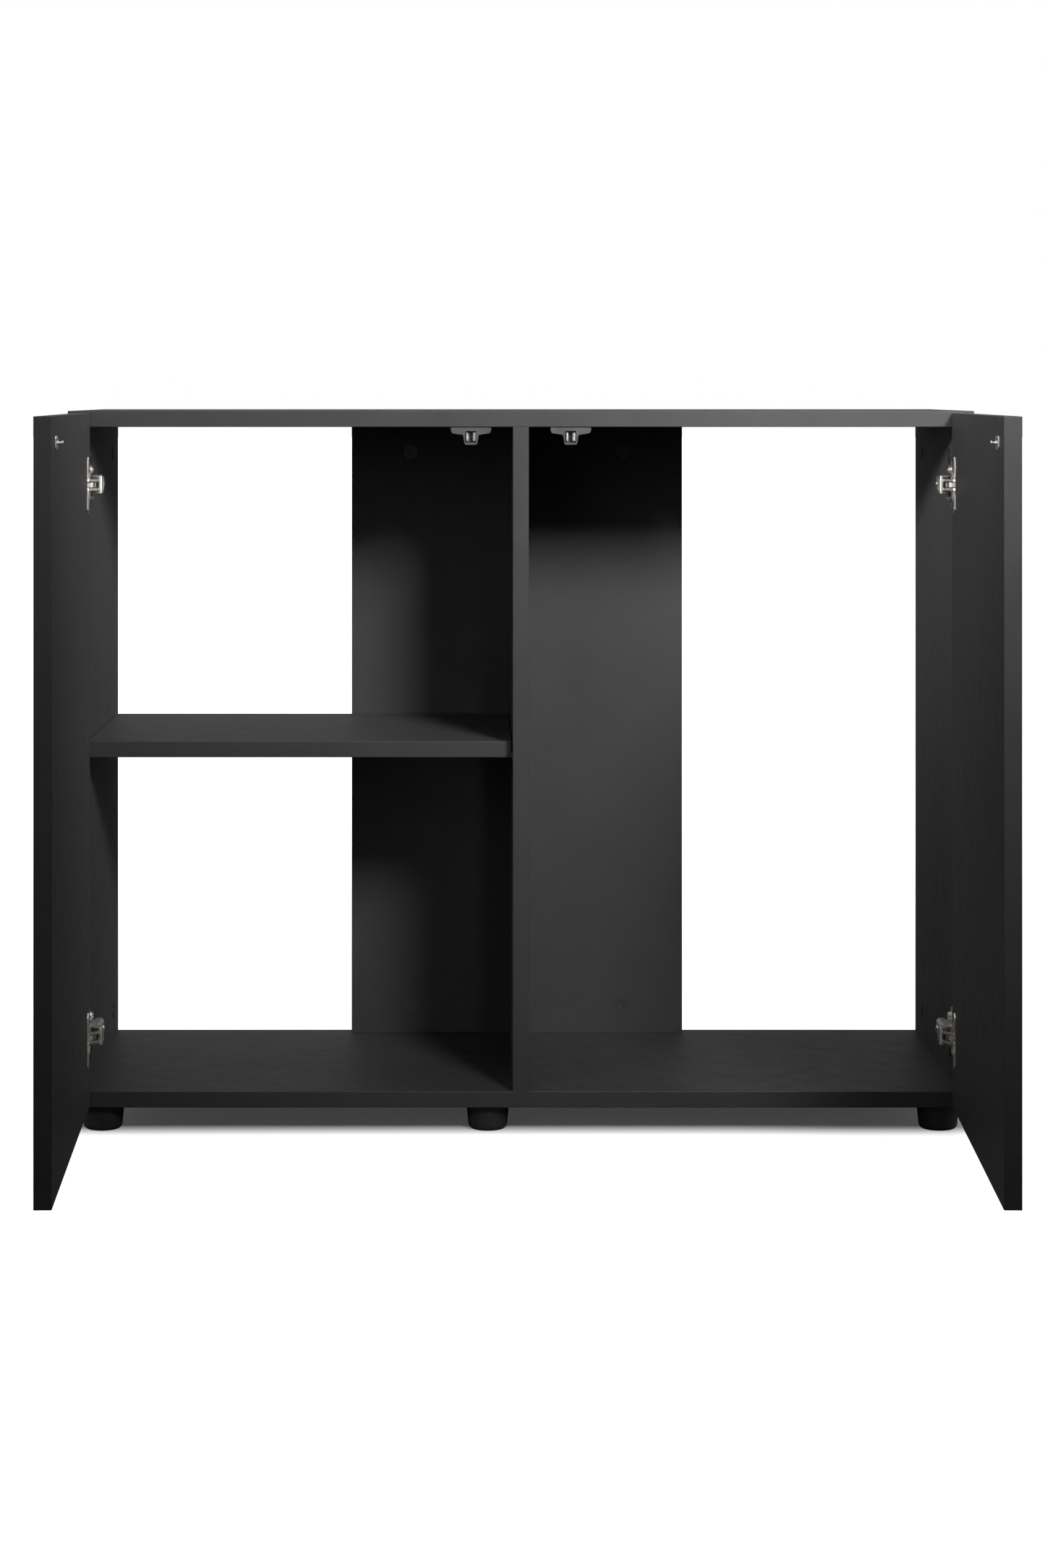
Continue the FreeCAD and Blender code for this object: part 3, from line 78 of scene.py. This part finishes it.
def ramp(nt, fac, lo, hi, a=0.0, b=1.0):
    n = nt.nodes.new("ShaderNodeMapRange")
    n.inputs["From Min"].default_value = lo
    n.inputs["From Max"].default_value = hi
    n.inputs["To Min"].default_value = a
    n.inputs["To Max"].default_value = b
    nt.links.new(fac, n.inputs["Value"])
    return n.outputs["Result"]


def noise(nt, coord, scale, detail=3.0, rough=0.55, stretch=None):
    if stretch is not None:
        mp = nt.nodes.new("ShaderNodeMapping")
        mp.inputs["Scale"].default_value = stretch
        nt.links.new(coord, mp.inputs["Vector"])
        coord = mp.outputs[0]
    n = nt.nodes.new("ShaderNodeTexNoise")
    n.inputs["Scale"].default_value = scale
    n.inputs["Detail"].default_value = detail
    n.inputs["Roughness"].default_value = rough
    nt.links.new(coord, n.inputs["Vector"])
    return n.outputs["Fac"]


def mix_rgb(nt, fac, a, b):
    n = nt.nodes.new("ShaderNodeMix")
    n.data_type = "RGBA"
    nt.links.new(fac, n.inputs["Factor"])
    for key, v in ((6, a), (7, b)):
        if isinstance(v, tuple):
            n.inputs[key].default_value = v
        else:
            nt.links.new(v, n.inputs[key])
    return n.outputs[2]


def edge_mask(nt, radius):
    """1 on edges, 0 on flats: how far a rounded normal leans from the true one."""
    bev = nt.nodes.new("ShaderNodeBevel")
    bev.samples = 4
    bev.inputs["Radius"].default_value = radius
    geo = nt.nodes.new("ShaderNodeNewGeometry")
    dot = nt.nodes.new("ShaderNodeVectorMath")
    dot.operation = "DOT_PRODUCT"
    nt.links.new(bev.outputs[0], dot.inputs[0])
    nt.links.new(geo.outputs["Normal"], dot.inputs[1])
    return math_node(nt, "SUBTRACT", 1.0, dot.outputs["Value"], clamp=True), bev


def grey(v, w=0.0):
    return (v * (1 + w), v, v * (1 - w), 1.0)


# ------------------------------------------------------------------ black melamine board
def melamine(name, axis, calm=0.0, strip=0.019):
    """Matt black melamine face, slightly smoother edge strip, fine pressed grain, faint handling marks.
    calm: extra roughness of the faces, with less gloss. strip: the edge strip's colour value; the doors set it
    almost black, a painted shade on their edges.
    axis: the board's thickness direction, so the faces across it get the edge strip."""
    m, nt, bsdf = new_mat(name)
    tex = nt.nodes.new("ShaderNodeTexCoord")
    co = tex.outputs["Object"]
    geo = nt.nodes.new("ShaderNodeNewGeometry")
    dot = nt.nodes.new("ShaderNodeVectorMath")
    dot.operation = "DOT_PRODUCT"
    dot.inputs[1].default_value = axis
    nt.links.new(geo.outputs["True Normal"], dot.inputs[0])
    facing = math_node(nt, "ABSOLUTE", dot.outputs["Value"])
    is_edge = math_node(nt, "LESS_THAN", facing, 0.5)

    # pressed paper grain: short fibres about 0.4 mm across plus a pearl of 1.5 mm
    fine = noise(nt, co, 2400.0, 2.0, 0.6)
    pearl = noise(nt, co, 620.0, 3.0, 0.5)
    cloud = noise(nt, co, 9.0, 4.0, 0.6)
    smudge = noise(nt, co, 34.0, 5.0, 0.62)
    specks = noise(nt, co, 900.0, 1.0, 0.4)
    speck_mask = ramp(nt, specks, 0.74, 0.80)
    height = math_node(nt, "ADD", math_node(nt, "MULTIPLY", fine, 0.5), math_node(nt, "MULTIPLY", pearl, 0.9))
    bump = nt.nodes.new("ShaderNodeBump")
    bump.inputs["Strength"].default_value = 0.16
    bump.inputs["Distance"].default_value = 0.00035
    nt.links.new(height, bump.inputs["Height"])
    mask, bev = edge_mask(nt, 0.0007)
    nt.links.new(bev.outputs[0], bump.inputs["Normal"])
    nt.links.new(bump.outputs[0], bsdf.inputs["Normal"])

    base = mix_rgb(nt, ramp(nt, cloud, 0.3, 0.7), (0.0120, 0.0120, 0.0123, 1), (0.0165, 0.0164, 0.0167, 1))
    base = mix_rgb(nt, ramp(nt, fine, 0.35, 0.65, 0.0, 0.35), base, (0.022, 0.022, 0.0225, 1))
    # edge strip colour: on the boards a lighter edge band, on the doors a painted shade
    base = mix_rgb(nt, math_node(nt, "MULTIPLY", is_edge, 0.55), base, (strip, strip, strip * 1.02, 1))
    wear = math_node(nt, "MULTIPLY", ramp(nt, mask, 0.02, 0.25), ramp(nt, smudge, 0.40, 0.72, 0.15, 0.8), clamp=True)
    base = mix_rgb(nt, math_node(nt, "MULTIPLY", wear, 0.5), base, (0.075, 0.074, 0.073, 1))
    base = mix_rgb(nt, math_node(nt, "MULTIPLY", speck_mask, 0.10), base, (0.20, 0.20, 0.20, 1))
    nt.links.new(base, bsdf.inputs["Base Color"])
    rough = ramp(nt, smudge, 0.3, 0.75, 0.44 + calm, 0.54 + calm)
    rough = math_node(nt, "SUBTRACT", rough, math_node(nt, "MULTIPLY", is_edge, 0.05 + calm))
    nt.links.new(rough, bsdf.inputs["Roughness"])
    gloss = math_node(nt, "ADD", math_node(nt, "MULTIPLY", is_edge, calm), 0.32 - calm)
    nt.links.new(gloss, bsdf.inputs["Specular IOR Level"])
    bsdf.inputs["Sheen Weight"].default_value = 0.02
    bsdf.inputs["Sheen Roughness"].default_value = 0.5
    return m


# ------------------------------------------------------------------ plastics and metals
def plastic(name, value, rough_lo, rough_hi, bump_scale, bump_amount, warm=0.0):
    m, nt, bsdf = new_mat(name)
    tex = nt.nodes.new("ShaderNodeTexCoord")
    co = tex.outputs["Object"]
    spark = noise(nt, co, bump_scale, 2.0, 0.5)
    flow = noise(nt, co, 60.0, 4.0, 0.6)
    bump = nt.nodes.new("ShaderNodeBump")
    bump.inputs["Strength"].default_value = bump_amount
    bump.inputs["Distance"].default_value = 0.0002
    nt.links.new(spark, bump.inputs["Height"])
    mask, bev = edge_mask(nt, 0.0004)
    nt.links.new(bev.outputs[0], bump.inputs["Normal"])
    nt.links.new(bump.outputs[0], bsdf.inputs["Normal"])
    c = mix_rgb(nt, ramp(nt, flow, 0.3, 0.7), grey(value * 0.85, warm), grey(value * 1.2, warm))
    # painted highlight: the edges are coloured about three times lighter, standing in for light caught on them
    c = mix_rgb(nt, ramp(nt, mask, 0.03, 0.3, 0.0, 0.35), c, grey(value * 3.0 + 0.02, warm))
    nt.links.new(c, bsdf.inputs["Base Color"])
    nt.links.new(ramp(nt, flow, 0.25, 0.75, rough_lo, rough_hi), bsdf.inputs["Roughness"])
    return m


def metal(name, colour, rough_lo, rough_hi, stretch, brush=0.25, dirt=0.25):
    m, nt, bsdf = new_mat(name)
    tex = nt.nodes.new("ShaderNodeTexCoord")
    co = tex.outputs["Object"]
    streak = noise(nt, co, 900.0, 2.0, 0.6, stretch)
    blot = noise(nt, co, 160.0, 4.0, 0.6)
    bump = nt.nodes.new("ShaderNodeBump")
    bump.inputs["Strength"].default_value = brush
    bump.inputs["Distance"].default_value = 0.0001
    nt.links.new(streak, bump.inputs["Height"])
    mask, bev = edge_mask(nt, 0.0003)
    nt.links.new(bev.outputs[0], bump.inputs["Normal"])
    nt.links.new(bump.outputs[0], bsdf.inputs["Normal"])
    dark = tuple(v * (1 - dirt) for v in colour) + (1.0,)
    lite = tuple(min(1.0, v * 1.06) for v in colour) + (1.0,)
    c = mix_rgb(nt, ramp(nt, blot, 0.3, 0.7), dark, lite)
    # painted highlight: the edges are coloured brighter than the plate, standing in for glints along them
    c = mix_rgb(nt, ramp(nt, mask, 0.02, 0.3, 0.0, 0.7), c, tuple(min(1.0, v * 1.25) for v in colour) + (1.0,))
    nt.links.new(c, bsdf.inputs["Base Color"])
    bsdf.inputs["Metallic"].default_value = 1.0
    nt.links.new(ramp(nt, streak, 0.3, 0.7, rough_lo, rough_hi), bsdf.inputs["Roughness"])
    return m


def beech(name):
    m, nt, bsdf = new_mat(name)
    tex = nt.nodes.new("ShaderNodeTexCoord")
    co = tex.outputs["Object"]
    g = noise(nt, co, 300.0, 4.0, 0.6, (1, 1, 0.08))
    c = mix_rgb(nt, ramp(nt, g, 0.3, 0.7), (0.42, 0.27, 0.15, 1), (0.62, 0.44, 0.27, 1))
    nt.links.new(c, bsdf.inputs["Base Color"])
    bsdf.inputs["Roughness"].default_value = 0.7
    return m


door_turn = math.radians(88)
AX = {"x": (1, 0, 0), "y": (0, 1, 0), "z": (0, 0, 1)}
MAT = {
    "board_x": melamine("melamine_upright", AX["x"]),
    "board_y": melamine("melamine_back", AX["y"]),
    "board_z": melamine("melamine_level", AX["z"]),
    "board_top": melamine("melamine_top", AX["z"], 0.18),
    # the two door copies differ in painted shade: their edge strips are coloured almost black, the left door's
    # darkest
    "door_l": melamine("melamine_left_door", (math.sin(door_turn), math.cos(door_turn), 0), strip=0.002),
    "door_r": melamine("melamine_right_door", (-math.sin(door_turn), math.cos(door_turn), 0), strip=0.006),
    "plastic": plastic("latch_plastic", 0.018, 0.34, 0.48, 1800.0, 0.25),
    "foot": plastic("foot_plastic", 0.014, 0.24, 0.36, 900.0, 0.10),
    "cam": plastic("cam_plastic", 0.010, 0.30, 0.42, 1500.0, 0.15),
    "nickel": metal("nickel_plate", (0.80, 0.765, 0.71), 0.30, 0.44, (1, 1, 0.12)),
    "nickel_flat": metal("nickel_plate_arm", (0.76, 0.73, 0.68), 0.34, 0.50, (1, 0.12, 1), 0.25, 0.15),
    "zinc": metal("bright_zinc", (0.86, 0.86, 0.87), 0.26, 0.38, (1, 1, 1), 0.15, 0.12),
    "steel": metal("bright_steel", (0.84, 0.83, 0.81), 0.20, 0.32, (1, 1, 0.1), 0.15, 0.12),
    "beech": beech("bare_beech"),
}


def choose(n):
    if n == "top_panel":
        return "board_top"
    if n in ("bottom_panel", "shelf"):
        return "board_z"
    if n in ("left_side_panel", "right_side_panel", "centre_divider"):
        return "board_x"
    if n == "back_panel":
        return "board_y"
    if n == "left_door_panel":
        return "door_l"
    if n == "right_door_panel":
        return "door_r"
    if n.endswith("_foot"):
        return "foot"
    if n.endswith("latch_housing") or n.endswith("latch_slider"):
        return "plastic"
    if n == "cam_locks":
        return "cam"
    if n == "wooden_dowels":
        return "beech"
    if n.endswith("_jaw") or n.endswith("cup_pins") or n in ("hinge_arm_pins", "latch_springs"):
        return "steel"
    if "screws" in n or "strike" in n or n in ("cam_bolts", "shelf_pins"):
        return "zinc"
    if n.endswith("_arm") or n.endswith("_plate"):
        return "nickel_flat"
    return "nickel"


for n, o in NODES.items():
    key = choose(n)
    o.data.materials.clear()
    o.data.materials.append(MAT[key])

# ------------------------------------------------------------------ floor, light, camera
FLOOR_Z = CAD_BOX[0][2]


def floor():
    me = bpy.data.meshes.new("floor")
    bm = bmesh.new()
    bmesh.ops.create_grid(bm, x_segments=2, y_segments=2, size=60.0)
    bm.to_mesh(me)
    bm.free()
    o = bpy.data.objects.new("floor", me)
    o.location = (0, 0, FLOOR_Z - 0.0002)
    scene.collection.objects.link(o)
    m, nt, bsdf = new_mat("floor_pale")
    tex = nt.nodes.new("ShaderNodeTexCoord")
    nz = noise(nt, tex.outputs["Object"], 3.0, 3.0, 0.5)
    c = mix_rgb(nt, ramp(nt, nz, 0.3, 0.7), (0.30, 0.30, 0.30, 1), (0.32, 0.32, 0.32, 1))
    nt.links.new(c, bsdf.inputs["Base Color"])
    bsdf.inputs["Roughness"].default_value = 0.8
    bsdf.inputs["Specular IOR Level"].default_value = 0.1
    # far away the floor melts into the bright backdrop
    geo = nt.nodes.new("ShaderNodeNewGeometry")
    ln = nt.nodes.new("ShaderNodeVectorMath")
    ln.operation = "LENGTH"
    nt.links.new(geo.outputs["Position"], ln.inputs[0])
    far = ramp(nt, ln.outputs["Value"], 1.4, 3.0)
    em = nt.nodes.new("ShaderNodeEmission")
    em.inputs["Color"].default_value = (1, 1, 1, 1)
    em.inputs["Strength"].default_value = 1.0
    mix = nt.nodes.new("ShaderNodeMixShader")
    nt.links.new(math_node(nt, "MINIMUM", far, 1.0, clamp=True), mix.inputs[0])
    nt.links.new(bsdf.outputs[0], mix.inputs[1])
    nt.links.new(em.outputs[0], mix.inputs[2])
    out = [x for x in nt.nodes if x.type == "OUTPUT_MATERIAL"][0]
    # the pale floor as the camera sees it, without a strong bounce into the cabinet; its glow is cut to almost
    # nothing around the cabinet's footprint, a painted contact shadow
    glow = nt.nodes.new("ShaderNodeEmission")
    xyz = nt.nodes.new("ShaderNodeSeparateXYZ")
    nt.links.new(geo.outputs["Position"], xyz.inputs[0])
    (x0, y0, _), (x1, y1, _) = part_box("bottom_panel")
    dx = math_node(nt, "SUBTRACT", math_node(nt, "ABSOLUTE", xyz.outputs[0]), 0.5 * (x1 - x0) - 0.02)
    dy = math_node(nt, "SUBTRACT", math_node(nt, "ABSOLUTE", xyz.outputs[1]), 0.5 * (y1 - y0) - 0.055)
    away = math_node(nt, "MAXIMUM", dx, dy)
    # painted shadow: glow strength 0.045 inside a box a little smaller than the bottom panel, rising smoothly to
    # 0.95 within 75 mm outside it
    painted_floor_shadow = nt.nodes.new("ShaderNodeMapRange")
    painted_floor_shadow.interpolation_type = "SMOOTHSTEP"
    painted_floor_shadow.inputs["From Min"].default_value = 0.0
    painted_floor_shadow.inputs["From Max"].default_value = 0.075
    painted_floor_shadow.inputs["To Min"].default_value = 0.045
    painted_floor_shadow.inputs["To Max"].default_value = 0.95
    nt.links.new(away, painted_floor_shadow.inputs["Value"])
    nt.links.new(painted_floor_shadow.outputs[0], glow.inputs["Strength"])
    add = nt.nodes.new("ShaderNodeAddShader")
    nt.links.new(mix.outputs[0], add.inputs[0])
    nt.links.new(glow.outputs[0], add.inputs[1])
    path = nt.nodes.new("ShaderNodeLightPath")
    seen = nt.nodes.new("ShaderNodeMixShader")
    nt.links.new(path.outputs["Is Camera Ray"], seen.inputs[0])
    dim = nt.nodes.new("ShaderNodeBsdfDiffuse")
    nt.links.new(mix_rgb(nt, ramp(nt, nz, 0.3, 0.7), (0.085, 0.085, 0.085, 1), (0.095, 0.095, 0.095, 1)), dim.inputs["Color"])
    nt.links.new(dim.outputs[0], seen.inputs[1])
    nt.links.new(add.outputs[0], seen.inputs[2])
    nt.links.new(seen.outputs[0], out.inputs[0])
    me.materials.append(m)
    return o


floor()

world = bpy.data.worlds.new("studio")
scene.world = world
world.use_nodes = True
wt = world.node_tree
wt.nodes.clear()
wout = wt.nodes.new("ShaderNodeOutputWorld")
seen = wt.nodes.new("ShaderNodeBackground")
seen.inputs[0].default_value = (1, 1, 1, 1)
seen.inputs[1].default_value = 1.0
lit = wt.nodes.new("ShaderNodeBackground")
# soft surround, brighter overhead
wtex = wt.nodes.new("ShaderNodeTexCoord")
sep = wt.nodes.new("ShaderNodeSeparateXYZ")
wt.links.new(wtex.outputs["Generated"], sep.inputs[0])
up = wt.nodes.new("ShaderNodeMapRange")
up.inputs["From Min"].default_value = -0.1
up.inputs["From Max"].default_value = 0.9
up.inputs["To Min"].default_value = 0.10
up.inputs["To Max"].default_value = 0.50
wt.links.new(sep.outputs["Z"], up.inputs["Value"])
wt.links.new(up.outputs[0], lit.inputs[1])
lp = wt.nodes.new("ShaderNodeLightPath")
wmix = wt.nodes.new("ShaderNodeMixShader")
wt.links.new(lp.outputs["Is Camera Ray"], wmix.inputs[0])
wt.links.new(lit.outputs[0], wmix.inputs[1])
wt.links.new(seen.outputs[0], wmix.inputs[2])
wt.links.new(wmix.outputs[0], wout.inputs[0])


def area(name, loc, aim, size, power):
    l = bpy.data.lights.new(name, "AREA")
    l.shape = "RECTANGLE"
    l.size, l.size_y = size
    l.energy = power
    o = bpy.data.objects.new(name, l)
    o.location = loc
    o.rotation_euler = (Vector(aim) - Vector(loc)).to_track_quat("-Z", "Y").to_euler()
    scene.collection.objects.link(o)
    return o


def spot(name, loc, aim, cone, power, radius):
    l = bpy.data.lights.new(name, "SPOT")
    l.energy = power
    l.spot_size = math.radians(cone)
    l.spot_blend = 1.0
    l.shadow_soft_size = radius
    o = bpy.data.objects.new(name, l)
    o.location = loc
    o.rotation_euler = (Vector(aim) - Vector(loc)).to_track_quat("-Z", "Y").to_euler()
    scene.collection.objects.link(o)
    return o


# key from the front right, high, falling off towards the floor
spot("key", (1.2, -3.3, 1.45), (0.24, -0.2, 0.17), 34, 1180, 0.42)
# narrow kick on the upper part of the right door
spot("kick", (-1.1, -3.0, 0.9), (0.5, -0.3, 0.06), 19, 520, 0.2)
# and a weaker one on the upper part of the left door
spot("kick_left", (1.5, -2.7, 0.9), (-0.5, -0.3, 0.07), 18, 300, 0.2)
# broad weak fill from the front left
area("fill", (-1.6, -3.6, 0.7), (0.0, 0.0, -0.35), (2.2, 1.8), 20)
# level spot into the right compartment, onto the back panel
spot("inside", (0.35, -3.9, -0.1), (0.16, 0.17, -0.60), 13, 28, 0.12)
# strip overhead for the tops and the metal
area("overhead", (0.0, -0.5, 2.2), (0.0, -0.1, 0.0), (2.4, 1.0), 22)

# the same two directions again, on the inner faces of the sides only
for who, lx, power in (("right_side_panel", -1.1, 620), ("left_side_panel", 1.3, 380)):
    o = spot("glow_" + who, (lx, -3.0, 0.8), (math.copysign(0.49, -lx), -0.05, -0.06), 11, power, 0.2)
    only = bpy.data.collections.new(who + "_lit")
    only.objects.link(NODES[who])
    o.light_linking.receiver_collection = only
# weak lights for the outer sides and the back; the rear one stays off the inside of the compartments
area("side_left", (-3.2, 0.25, -0.1), (-0.5, 0.0, -0.4), (1.4, 1.4), 16)
area("side_right", (3.2, 0.25, -0.1), (0.5, 0.0, -0.4), (1.4, 1.4), 16)
rear = area("rear", (0.0, 3.4, -0.2), (0.0, 0.2, -0.4), (1.6, 1.2), 20)
rear_lit = bpy.data.collections.new("rear_lit")
for n in ("back_panel", "top_panel"):
    rear_lit.objects.link(NODES[n])
rear.light_linking.receiver_collection = rear_lit

cam = bpy.data.cameras.new("camera")
cam_o = bpy.data.objects.new("camera", cam)
scene.collection.objects.link(cam_o)
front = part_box("bottom_panel")[0][1]
cam_o.location = (-0.0526, front - 3.956, 0.0219)
cam_o.rotation_euler = (math.radians(90), 0, 0)
cam.sensor_width = 36
cam.lens = 81.13
cam.shift_x = 0.0310
cam.shift_y = -0.2504
cam.clip_start, cam.clip_end = 0.05, 200
scene.camera = cam_o

# The lens shift belongs to the main view only: it fades out once the camera leaves its home.
home = bpy.data.objects.new("camera_home", None)
home.location = cam_o.location
scene.collection.objects.link(home)
for prop, value in (("shift_x", cam.shift_x), ("shift_y", cam.shift_y)):
    fc = cam.driver_add(prop)
    drv = fc.driver
    drv.type = "SUM"
    var = drv.variables.new()
    var.name = "away"
    var.type = "LOC_DIFF"
    var.targets[0].id = cam_o
    var.targets[1].id = home
    for mod in list(fc.modifiers):
        fc.modifiers.remove(mod)
    while fc.keyframe_points:
        fc.keyframe_points.remove(fc.keyframe_points[0])
    for x, y in ((0.0, value), (0.1, value), (0.3, 0.0)):
        kp = fc.keyframe_points.insert(x, y)
        kp.interpolation = "LINEAR"
    fc.extrapolation = "CONSTANT"

scene.view_settings.view_transform = "Standard"
scene.view_settings.look = "None"
